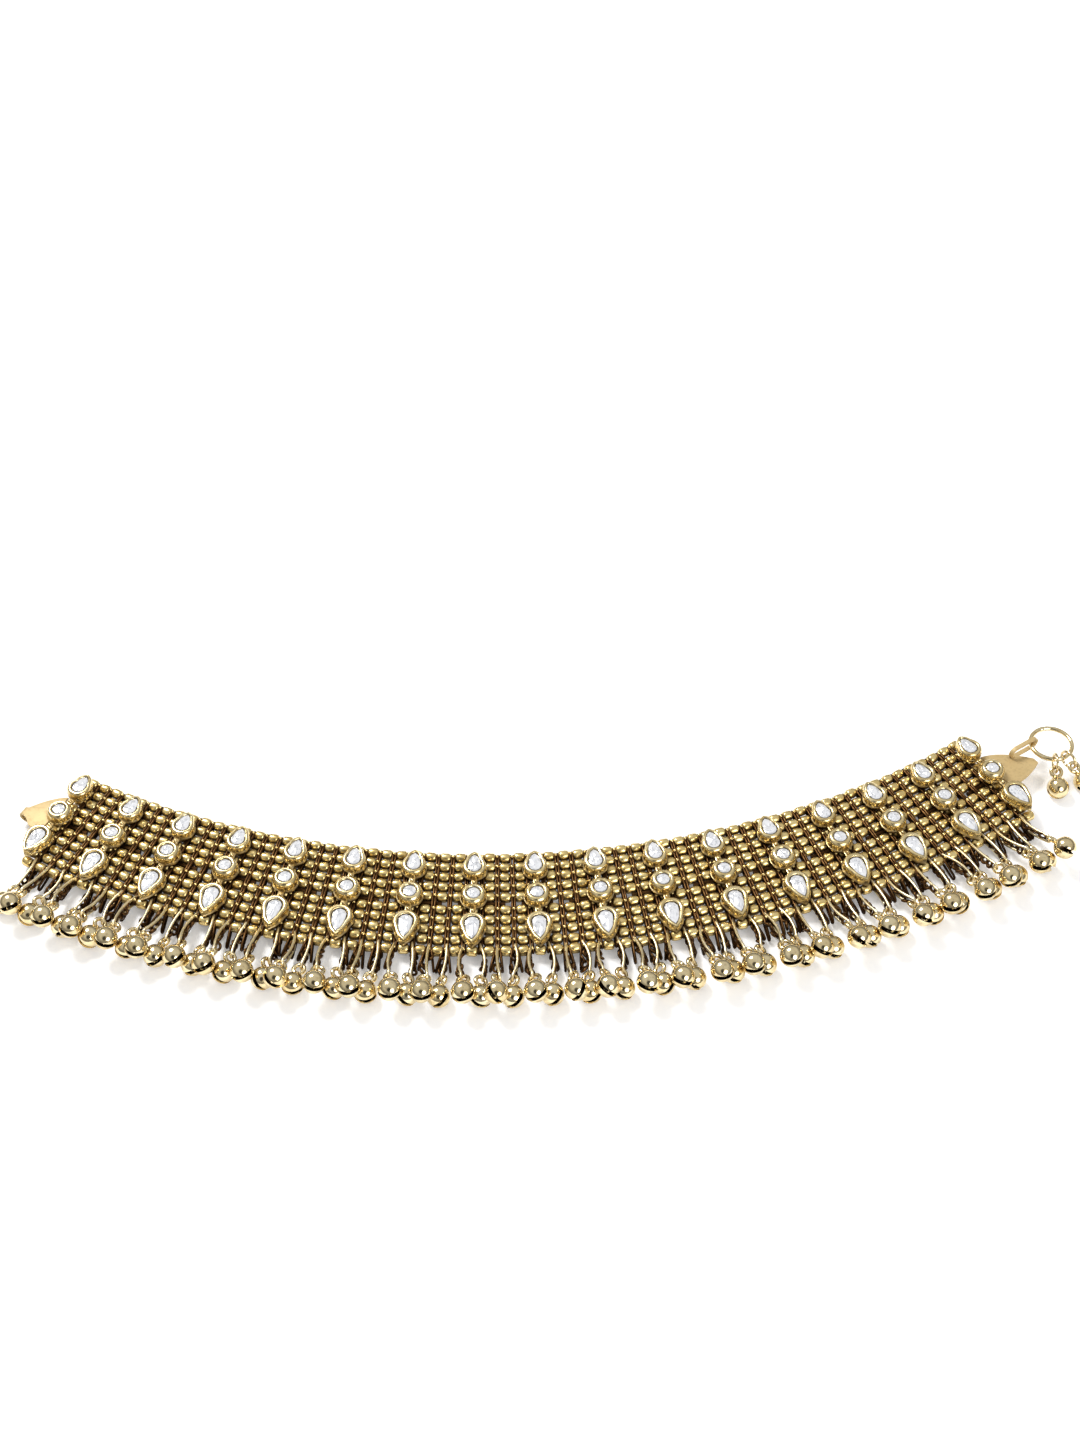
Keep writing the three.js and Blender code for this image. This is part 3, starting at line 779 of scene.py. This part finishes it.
def addGranules(bm, setting, base):
    radius = setting["width"] / 2 - cup["granuleInset"]
    height = base + cup["granuleRise"]
    for i in range(cup["granules"]):
        angle = i * 2 * math.pi / cup["granules"]
        place = (radius * math.cos(angle), setting["across"] + radius * math.sin(angle), height)
        bmesh.ops.create_icosphere(
            bm, subdivisions=1, radius=cup["granule"] / 2, matrix=Matrix.Translation(place))


def addBridge(bm, low, high, base):
    middle = Vector((0, (low + high) / 2, base + cup["bridgeHeight"] / 2))
    length = high - low + cup["bridgeOverlap"]
    size = Matrix.Diagonal((cup["bridgeWidth"], length, cup["bridgeHeight"], 1))
    made = bmesh.ops.create_cube(bm, size=1, matrix=Matrix.Translation(middle) @ size)
    edges = list({e for v in made["verts"] for e in v.link_edges})
    bmesh.ops.bevel(
        bm, geom=edges, offset=cup["bridgeEdge"], offset_type="OFFSET", affect="EDGES", segments=2,
        profile=0.5, material=-1)
    dot = Matrix.Translation(middle + Vector((0, 0, cup["bridgeHeight"] / 2)))
    bmesh.ops.create_uvsphere(bm, u_segments=12, v_segments=8, radius=cup["dot"] / 2, matrix=dot)


def addLeaf(bm, base):
    made = bmesh.ops.create_cone(bm, cap_ends=True, segments=leaf["sides"], radius1=1, radius2=1, depth=2)
    for vert in made["verts"]:
        angle = math.atan2(vert.co.x, vert.co.y)
        wide = leaf["width"] / 2 * math.sin(angle) * abs(math.sin(angle)) ** leaf["pointPower"]
        height = leaf["thickness"] if vert.co.z > 0 else 0
        vert.co = Vector((wide, leaf["length"] / 2 * math.cos(angle), height))
    edges = {e for v in made["verts"] for e in v.link_edges}
    level = [e for e in edges if abs(e.verts[0].co.z - e.verts[1].co.z) < tiny]
    bmesh.ops.bevel(
        bm, geom=level, offset=leaf["edge"], offset_type="OFFSET", affect="EDGES", segments=2,
        profile=0.5, material=-1)
    depth = base - leaf["thickness"]
    bmesh.ops.create_cone(
        bm, cap_ends=True, segments=12, radius1=leaf["rivet"] / 2, radius2=leaf["rivet"] / 2,
        depth=depth + leaf["rivetOverlap"],
        matrix=Matrix.Translation((0, 0, leaf["thickness"] + depth / 2)))


def settingBase(motif):
    return cup["base"] + (cup["endRise"] if motif in (1, strap["motifs"]) else 0)


def addMotif(motif):
    base = settingBase(motif)
    bm = bmesh.new()
    floors = []
    for setting in (topSetting, midSetting, lowSetting):
        floors.append(addCup(bm, setting, base).calc_center_median().z)
    addGranules(bm, midSetting, base)
    midTop = midSetting["across"] + midSetting["width"] / 2
    midLow = midSetting["across"] - midSetting["width"] / 2
    addBridge(bm, midTop, topSetting["across"] - topSetting["length"] / 2, base)
    addBridge(bm, lowSetting["across"] + lowSetting["length"] / 2, midLow, base)
    addLeaf(bm, base)
    bmesh.ops.recalc_face_normals(bm, faces=bm.faces)
    smoothBelow(bm, cup["smoothDegrees"])
    bmesh.ops.transform(bm, matrix=segmentMatrix(motif), verts=bm.verts)
    number = tag(motif)
    addPiece(
        f"settings_{number}", bm, f"strap_{number}", [settingGold, paintedShadeInside],
        [f"motif_{number}"])
    addStones(motif, floors)


def openingOf(setting):  # the stone's outline, a little inside the lip
    inset = sum(step[0] for step in setting["steps"][:-1]) * mm
    share = (setting["width"] / 2 - inset) / (setting["width"] / 2) * stone["fit"]
    centre = arcCentre(setting)
    radius = setting["width"] / 2 * share
    tipReach = (setting["length"] - setting["width"] / 2) * share ** (1 - setting["tipKeep"])
    opening = dict(setting, width=2 * radius, length=radius + (tipReach if setting["tip"] else radius))
    opening["across"] = centre.y + setting["tip"] * (opening["length"] - opening["width"]) / 2
    return opening


def addStones(motif, floors):
    stones = bmesh.new()
    # a painted reflection level for each facet
    tone = stones.faces.layers.float.new("facetReflection")
    for setting, floorHeight in zip((topSetting, midSetting, lowSetting), floors):
        opening = openingOf(setting)
        centre = arcCentre(setting)
        face = addOutlineBlock(
            stones, opening, stone["sides"], floorHeight - stone["sink"], floorHeight + stone["girdle"])
        for share, rise in stone["facets"]:
            face = stepIn(stones, face, centre, share, rise * mm)
            for vert in face.verts:
                vert.co += Vector([scatter(stone["jitter"]) for _ in range(3)])
    bmesh.ops.triangulate(stones, faces=stones.faces, quad_method="ALTERNATE")
    for facet in stones.faces:
        facet[tone] = random.choices(stone["reflectionLevels"], weights=stone["reflectionWeights"])[0]
    bmesh.ops.recalc_face_normals(stones, faces=stones.faces)
    bmesh.ops.transform(stones, matrix=segmentMatrix(motif), verts=stones.verts)
    number = tag(motif)
    addPiece(f"stones_{number}", stones, f"strap_{number}", [clearStone])


random.seed(17)
for motif in range(1, strap["motifs"] + 1):
    addMotif(motif)
print("stone settings made")


# Fringe: the lowest chain row, with a wire link, an eye and a bell at each gap

bell = {
    "diameter": 4.8 * mm,
    "wall": 0.3 * mm,
    "insideShare": 0.6,
    "slot": 0.9 * mm,
    "slotTop": 0.35 * mm,
    "sides": 28,
    "rings": 18,
    "eye": 3.1 * mm,
    "eyeWire": 0.9 * mm,
    "eyeSteps": 24,
    "eyeSides": 10,
    "eyeSeat": 0.3 * mm,
    "collarTop": 0.62 * mm,
    "collarFoot": 0.95 * mm,
    "collarDepth": 0.55 * mm,
    "smoothDegrees": 40,
    "linkWire": 0.62 * mm,
    "linkHalf": 0.8 * mm,
    "linkRise": 0.8 * mm,
    "linkSides": 8,
    "linkSteps": 6,
    "linkLean": math.radians(4),
    "linkLeanAtTip": math.radians(3),
    "linkBows": (-0.7 * mm, -0.3 * mm, 0.3 * mm, 0.7 * mm),
    "lowerReach": 11.2 * mm,
    "upperReach": 13 * mm,
    "upperLift": 3.3 * mm,
    "spacing": 3.3 * mm,
    "spacingScatter": 0.12 * mm,
    "roll": math.radians(50),
    "yaw": math.radians(3),
    "pellet": 1.7 * mm,
    "pelletPlace": (0, -0.6 * mm, -1.0 * mm),
}
tie = {
    "length": 4.1 * mm, "half": 0.62 * mm, "sides": 5, "steps": 4,
    "aside": 0.55 * mm, "asideRange": (-0.1 * mm, 0.15 * mm),
    "swing": (2, 14), "dip": (4, 16),  # degrees
}
smallRing = {
    "diameter": 2.1 * mm, "wire": 0.6 * mm, "steps": 14, "sides": 6, "shares": (0.25, 0.45, 0.65, 0.85),
    "aside": 0.6 * mm, "asideAtTip": (0.5 * mm, 0.8 * mm), "rise": (-0.2 * mm, 0.1 * mm),
    "turn": (0.4, 2.7), "lean": 0.6,
}
bellRadius = bell["diameter"] / 2
eyeRadius = (bell["eye"] - bell["eyeWire"]) / 2
fromEye = bellRadius + bell["eye"] / 2 - bell["eyeSeat"]


def bellDraft(hasPellet):  # eye's centre at the origin, bell towards -Y, slot level
    bm = bmesh.new()
    centre = Vector((0, -fromEye, 0))
    bmesh.ops.create_uvsphere(
        bm, u_segments=bell["sides"], v_segments=bell["rings"], radius=bellRadius,
        matrix=Matrix.Translation(centre) @ Matrix.Rotation(math.pi / 2, 4, "X"))
    for height in (-bell["slot"] / 2, bell["slot"] / 2):
        geom = bm.verts[:] + bm.edges[:] + bm.faces[:]
        bmesh.ops.bisect_plane(bm, geom=geom, plane_co=(0, 0, height), plane_no=(0, 0, 1))
    lower = centre.y - bell["slotTop"]
    geom = bm.verts[:] + bm.edges[:] + bm.faces[:]
    bmesh.ops.bisect_plane(bm, geom=geom, plane_co=(0, lower, 0), plane_no=(0, 1, 0))
    slotFaces = [
        f for f in bm.faces
        if abs(f.calc_center_median().z) < bell["slot"] / 2 and f.calc_center_median().y < lower]
    bmesh.ops.delete(bm, geom=slotFaces, context="FACES")
    bmesh.ops.remove_doubles(bm, verts=bm.verts, dist=tiny / 2)
    bmesh.ops.recalc_face_normals(bm, faces=bm.faces)
    if sum((f.normal.dot(f.calc_center_median() - centre)) for f in bm.faces) < 0:
        bmesh.ops.reverse_faces(bm, faces=bm.faces)
    bmesh.ops.solidify(bm, geom=bm.faces[:], thickness=bell["wall"])
    # painted shade on the inside of the bell's shell
    for face in bm.faces:  # dark inside
        if (face.calc_center_median() - centre).length < bellRadius - bell["wall"] * bell["insideShare"]:
            face.material_index = 1
    smoothBelow(bm, bell["smoothDegrees"])
    addRing(bm, bell["eye"], bell["eyeWire"], bell["eyeSteps"], bell["eyeSides"], Matrix.Identity(4))
    collar = Matrix.Translation((0, centre.y + bellRadius, 0)) @ Matrix.Rotation(math.pi / 2, 4, "X")
    made = bmesh.ops.create_cone(
        bm, cap_ends=True, segments=16, radius1=bell["collarTop"], radius2=bell["collarFoot"],
        depth=bell["collarDepth"], matrix=collar)
    for face in {f for v in made["verts"] for f in v.link_faces}:
        face.smooth = len(face.verts) == 4
    if hasPellet:
        bmesh.ops.create_icosphere(
            bm, subdivisions=2, radius=bell["pellet"] / 2,
            matrix=Matrix.Translation(centre + Vector(bell["pelletPlace"])))
    return asMesh(bm, "bellDraft")


def linkLength(reach):  # from the chain wire to the eye's wire
    return reach - fromEye - eyeRadius


bellMesh = bellDraft(True)
tieMesh = wireLoopDraft(tie["length"], tie["half"], chain["link"], tie["sides"], tie["steps"])
linkMeshes = {
    (reach, bow): wireLoopDraft(
        linkLength(reach) + bell["linkRise"], bell["linkHalf"], bell["linkWire"], bell["linkSides"],
        bell["linkSteps"], bow)
    for reach in (bell["lowerReach"], bell["upperReach"]) for bow in bell["linkBows"]}


def startsLow(motif):
    return sum(len(segmentGaps(m)) for m in range(1, motif)) % 2 == 0


def bellPlaces(motif):  # start, middle, reach, and which way is clear of the setting's tip
    across = rowAcross(strap["rows"] - 1)
    gaps = segmentGaps(motif)
    places = [g * strap["columnPitch"] * spread(across - bell["lowerReach"]) for g in gaps]
    groupMiddle = (places[0] + places[-1]) / 2
    for i, gap in enumerate(gaps):
        isLower = (i + (0 if startsLow(motif) else 1)) % 2 == 0
        reach = bell["lowerReach"] if isLower else bell["upperReach"]
        lift = (bellRadius if isLower else bellRadius + bell["upperLift"]) - strap["beadHeight"]
        start = Vector((gap * strap["columnPitch"] * spread(across), across, strap["beadHeight"]))
        side = groupMiddle + (i - (len(gaps) - 1) / 2) * bell["spacing"] + scatter(bell["spacingScatter"])
        middle = Vector((side, across - math.sqrt(reach ** 2 - lift ** 2), strap["beadHeight"] + lift))
        yield start, middle, reach, math.copysign(1, gap) if abs(gap) < 1 else 0


def addLink(bm, hang, reach, outward):
    angle = outward * bell["linkLeanAtTip"] or scatter(bell["linkLean"])
    lean = Matrix.Rotation(angle, 4, "Z")
    over = Matrix.Translation((0, bell["linkRise"], 0))
    bow = random.choice([b for b in bell["linkBows"] if b * outward >= 0])
    addCopy(bm, linkMeshes[reach, bow], hang @ lean @ over)


# the ties' dark colour is partly oxidised wire, partly painted shade among the links above the bells
def addTies(bm, start, outward):  # dark ties hang beside each link
    for side in (-1, 1):
        way = outward or side
        aside = Matrix.Translation((tie["aside"] * way + random.uniform(*tie["asideRange"]) * side, 0, 0))
        swing = Matrix.Rotation(math.radians(way * random.uniform(*tie["swing"])), 4, "Z")
        dip = Matrix.Rotation(math.radians(random.uniform(*tie["dip"])), 4, "X")
        addCopy(bm, tieMesh, start @ aside @ swing @ dip)


# the small rings' dark colour is partly oxidised wire, partly painted shade in the tangle above the bells
def addSmallRings(bm, hang, reach, outward):
    for share in smallRing["shares"]:
        if outward:
            aside = outward * random.uniform(*smallRing["asideAtTip"])
        else:
            aside = scatter(smallRing["aside"])
        place = Vector((aside, -share * linkLength(reach), random.uniform(*smallRing["rise"])))
        turn = Matrix.Rotation(random.uniform(*smallRing["turn"]), 4, "Y")
        lean = Matrix.Rotation(scatter(smallRing["lean"]), 4, "X")
        addRing(
            bm, smallRing["diameter"], smallRing["wire"], smallRing["steps"], smallRing["sides"],
            hang @ Matrix.Translation(place) @ turn @ lean)


def addFringe(motif):
    segment = segmentMatrix(motif)
    number = tag(motif)
    beads = bmesh.new()
    addChainRow(beads, motif, strap["rows"] - 1)
    addPiece(f"fringe_beads_{number}", beads, f"fringe_{number}", [beadGold])
    bells = bmesh.new()
    links = bmesh.new()
    rings = bmesh.new()
    for start, middle, reach, outward in bellPlaces(motif):
        hang = segment @ towards(start, middle)
        addLink(links, hang, reach, outward)
        addTies(rings, segment @ Matrix.Translation(start), outward)
        addSmallRings(rings, hang, reach, outward)
        eyeAt = Matrix.Translation((0, fromEye - reach, 0))
        roll = Matrix.Rotation(scatter(bell["roll"]), 4, "Y")
        yaw = Matrix.Rotation(scatter(bell["yaw"]), 4, "Z")
        addCopy(bells, bellMesh, hang @ eyeAt @ yaw @ roll)
    addPiece(f"links_{number}", links, f"fringe_{number}", [wireGold])
    addPiece(f"small_rings_{number}", rings, f"fringe_{number}", [linkGold])
    addPiece(
        f"bells_{number}", bells, f"fringe_{number}", [bellGold, paintedShadeInside],
        [f"bell_row_{number}"])


random.seed(23)
for motif in range(1, strap["motifs"] + 1):
    addFringe(motif)
print("fringe made")


# End plates: sheet metal ribbons. The left one turns under as a hook, the right one carries a loop.

plate = {
    "thickness": 0.5 * mm,
    "top": 3.8 * mm,
    "start": 1.45 * mm,
    "base": 10 * mm,
    "across": 0.3 * mm,
    "tab": 3.6 * mm,
    "tabEnd": -1.2 * mm,
    "edge": 0.11 * mm,
    "edgeAngle": math.radians(50),
    "shoulder": 0.1 * mm,
    "halfWaves": 3,
    "steps": 18,
}
leftPlate = {
    "side": -1, "length": 6.0 * mm, "tipHeight": 2.2 * mm, "tipAcross": -1.8 * mm,
    "lowBulge": 1.4 * mm, "highBulge": 1.6 * mm, "wave": 0.28 * mm,
}
rightPlate = {
    "side": 1, "length": 9.5 * mm, "tipHeight": 1.4 * mm, "tipAcross": -2.1 * mm,
    "lowBulge": 1.3 * mm, "highBulge": 2.3 * mm, "wave": 0,
}
hook = {"width": 2 * mm, "gap": 1.6 * mm, "back": 3.4 * mm, "steps": 10}
loop = {
    "width": 0.9 * mm, "bore": 2 * mm, "stretch": 4.8 * mm, "past": 1.9 * mm, "across": 1.6 * mm,
    "steps": 12,
}


def addRibbon(bm, sections):  # a sheet through pairs of edge points
    corners = [bm.verts.new(point) for point in sections[0]]
    edge = bm.edges.new(corners)
    for section in sections[1:]:
        made = bmesh.ops.extrude_edge_only(bm, edges=[edge])["geom"]
        fresh = {g for g in made if isinstance(g, bmesh.types.BMVert)}
        corners = [
            next(e.other_vert(v) for e in v.link_edges if e.other_vert(v) in fresh) for v in corners]
        for corner, point in zip(corners, section):
            corner.co = point
        edge = bm.edges.get(corners)


def edgePair(shape, along, low, high, height):
    return [Vector((along * shape["side"], across, height)) for across in (low, high)]


def bowed(start, middle, end, share):
    return (1 - share) ** 2 * start + 2 * share * (1 - share) * middle + share ** 2 * end


def plateSections(shape):
    low = plate["across"] - plate["base"] / 2
    high = plate["across"] + plate["base"] / 2
    tipLow = shape["tipAcross"] - shape["tipHeight"] / 2
    tipHigh = shape["tipAcross"] + shape["tipHeight"] / 2
    height = plate["top"] - plate["thickness"] / 2
    tab = plate["tab"] / 2
    sections = [edgePair(shape, along, -tab, tab, height) for along in (plate["tabEnd"], plate["start"])]
    for step in range(plate["steps"] + 1):
        share = step / plate["steps"]
        lowEdge = bowed(low, (low + tipLow) / 2 - shape["lowBulge"], tipLow, share)
        lowEdge += shape["wave"] * math.sin(plate["halfWaves"] * math.pi * share)
        highEdge = bowed(high, (high + tipHigh) / 2 + shape["highBulge"], tipHigh, share)
        along = plate["start"] + plate["shoulder"] + (shape["length"] - plate["shoulder"]) * share
        sections.append(edgePair(shape, along, lowEdge, highEdge, height))
    return sections


def thicken(piece):
    sheet = piece.modifiers.new("thickness", "SOLIDIFY")
    sheet.thickness = plate["thickness"]
    sheet.offset = 0
    edge = piece.modifiers.new("edge", "BEVEL")
    edge.width = plate["edge"]
    edge.segments = 2
    edge.limit_method = "ANGLE"
    edge.angle_limit = plate["edgeAngle"]


def addLeftPlate():
    bm = bmesh.new()
    sections = plateSections(leftPlate)
    radius = (hook["gap"] + plate["thickness"]) / 2
    tip = plate["start"] + leftPlate["length"]
    centre = plate["top"] - plate["thickness"] / 2 - radius
    low = leftPlate["tipAcross"] - hook["width"] / 2
    high = leftPlate["tipAcross"] + hook["width"] / 2
    for step in range(1, hook["steps"] + 1):
        angle = math.pi / 2 - math.pi * step / hook["steps"]
        along = tip + radius * math.cos(angle)
        sections.append(edgePair(leftPlate, along, low, high, centre + radius * math.sin(angle)))
    sections.append(edgePair(leftPlate, tip - hook["back"], low, high, centre - radius))
    addRibbon(bm, sections)
    finishPlate(bm, "left_plate", 1, "left_end_plate")


def addRightPlate():
    bm = bmesh.new()
    addRibbon(bm, plateSections(rightPlate))
    radius = (loop["bore"] + plate["thickness"]) / 2
    centre = plate["top"] + loop["bore"] / 2
    far = plate["start"] + rightPlate["length"] + loop["past"]
    low = loop["across"] - loop["width"] / 2
    high = loop["across"] + loop["width"] / 2
    sections = []
    for start, along in ((-math.pi / 2, far), (math.pi / 2, far - loop["stretch"])):
        for step in range(loop["steps"] + 1):
            angle = start + math.pi * step / loop["steps"]
            height = centre + radius * math.sin(angle)
            sections.append(edgePair(rightPlate, along + radius * math.cos(angle), low, high, height))
    sections.append(sections[0])
    loopMesh = bmesh.new()
    addRibbon(loopMesh, sections)
    bmesh.ops.remove_doubles(loopMesh, verts=loopMesh.verts, dist=tiny)
    mesh = asMesh(loopMesh, "loopDraft")
    bm.from_mesh(mesh)
    bpy.data.meshes.remove(mesh)
    finishPlate(bm, "right_plate", strap["motifs"], "right_end_plate")


def finishPlate(bm, name, motif, node):
    bmesh.ops.recalc_face_normals(bm, faces=bm.faces)
    smooth(bm.faces)
    bmesh.ops.transform(bm, matrix=segmentMatrix(motif), verts=bm.verts)
    thicken(addPiece(name, bm, f"strap_{tag(motif)}", [plateGold], [node]))


addLeftPlate()
addRightPlate()
print("end plates made")


# Clasp ring, jump rings and their bells, placed by the frame's own boxes and joints

clasp = {
    "diameter": 10 * mm, "wire": 1 * mm, "steps": 72, "sides": 14, "solder": 1.3 * mm,
    "solderAngle": math.radians(105), "solderShares": (0.88, 1.25, 0.88),
}
jump = {"diameter": 4.6 * mm, "wire": 0.6 * mm, "steps": 40, "sides": 10, "cut": math.radians(6)}
endPellet = {"diameter": 1.6 * mm}
joints = {joint["name"]: joint for joint in frame["record"]["behaviour"]["joints"]}


def middleOf(node):
    low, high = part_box(node)
    return (Vector(low) + Vector(high)) / 2


def addClaspRing():
    bm = bmesh.new()
    middle = Matrix.Translation(middleOf("clasp_ring"))
    addRing(bm, clasp["diameter"], clasp["wire"], clasp["steps"], clasp["sides"], middle)
    radius = (clasp["diameter"] - clasp["wire"]) / 2
    place = Matrix.Rotation(clasp["solderAngle"], 4, "Z") @ Matrix.Translation((radius, 0, 0))
    made = bmesh.ops.create_uvsphere(
        bm, u_segments=16, v_segments=10, radius=clasp["solder"] / 2,
        matrix=middle @ place @ Matrix.Diagonal((*clasp["solderShares"], 1)))
    smooth({f for v in made["verts"] for f in v.link_faces})
    addPiece("clasp_wire", bm, "clasp_ring", [bellGold], ["clasp_ring"])


endBellMesh = bellDraft(False)


def addEndBell(number):
    start = Vector(joints[f"jump_ring_{number}_swing"]["pos_m"])
    ringMiddle = Vector(joints[f"end_bell_{number}_swing"]["pos_m"])
    hang = towards(start, ringMiddle)
    offset = (ringMiddle - start).length
    ring = bmesh.new()
    upright = hang @ Matrix.Translation((0, -offset, 0)) @ Matrix.Rotation(math.pi / 2, 4, "Y")
    addRing(ring, jump["diameter"], jump["wire"], jump["steps"], jump["sides"], upright, jump["cut"])
    addPiece(
        f"jump_wire_{number}", ring, f"jump_ring_{number}", [bellGold],
        [f"jump_ring_{number}"])
    shell = bmesh.new()
    eyeAlong = offset + (jump["diameter"] - jump["wire"]) / 2
    addCopy(shell, endBellMesh, hang @ Matrix.Translation((0, -eyeAlong, 0)))
    addPiece(
        f"clasp_bell_{number}", shell, f"end_bell_{number}", [bellGold, paintedShadeInside],
        [f"end_bell_{number}"])
    pellet = bmesh.new()
    bmesh.ops.create_icosphere(
        pellet, subdivisions=3, radius=endPellet["diameter"] / 2,
        matrix=Matrix.Translation(middleOf(f"end_pellet_{number}")))
    smooth(pellet.faces)
    addPiece(
        f"clasp_pellet_{number}", pellet, f"end_pellet_{number}", [pelletSteel],
        [f"end_pellet_{number}"])


addClaspRing()
for number in (1, 2):
    addEndBell(number)
print("clasp made")
